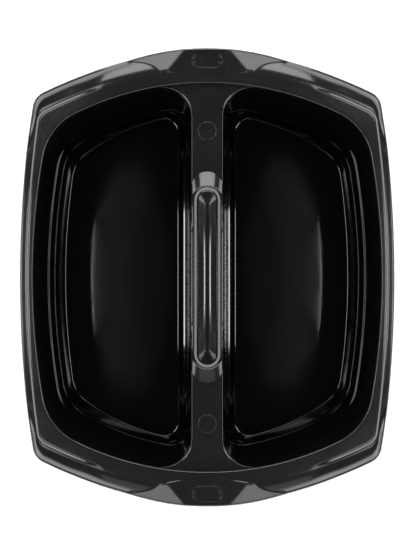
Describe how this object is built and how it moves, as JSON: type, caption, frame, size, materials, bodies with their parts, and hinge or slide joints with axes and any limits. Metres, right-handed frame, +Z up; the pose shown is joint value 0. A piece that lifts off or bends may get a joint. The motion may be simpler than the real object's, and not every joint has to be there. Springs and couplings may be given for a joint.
{
  "type": "two trough carrying tray with centre handle",
  "caption": "Deep open carrying tray of moulded plastic: D-shaped troughs side by side, a flared rim with end grip tabs, and a fixed carrying handle on the deck between them.",
  "frame": {"origin": "on the table, under the middle of the tray", "axes": "+X across the two troughs, +Y along the handle towards the rear end, +Z up"},
  "size_m": [0.3292, 0.401, 0.1555],
  "materials": {
    "tray_plastic": "satin",
    "cap_plastic": "gloss",
    "fixing_steel": "zinc plated"
  },
  "bodies": {
    "root": {"tray_body": "tray_plastic", "handle_bridge": "tray_plastic", "grip_cap": "cap_plastic", "deck_plug_front": "tray_plastic", "deck_plug_rear": "tray_plastic", "badge_front": "cap_plastic", "badge_rear": "cap_plastic", "handle_screw_front_left": "fixing_steel", "handle_screw_front_right": "fixing_steel", "handle_screw_rear_left": "fixing_steel", "handle_screw_rear_right": "fixing_steel", "handle_washer_front_left": "fixing_steel", "handle_washer_front_right": "fixing_steel", "handle_washer_rear_left": "fixing_steel", "handle_washer_rear_right": "fixing_steel"}
  },
  "joints": []
}
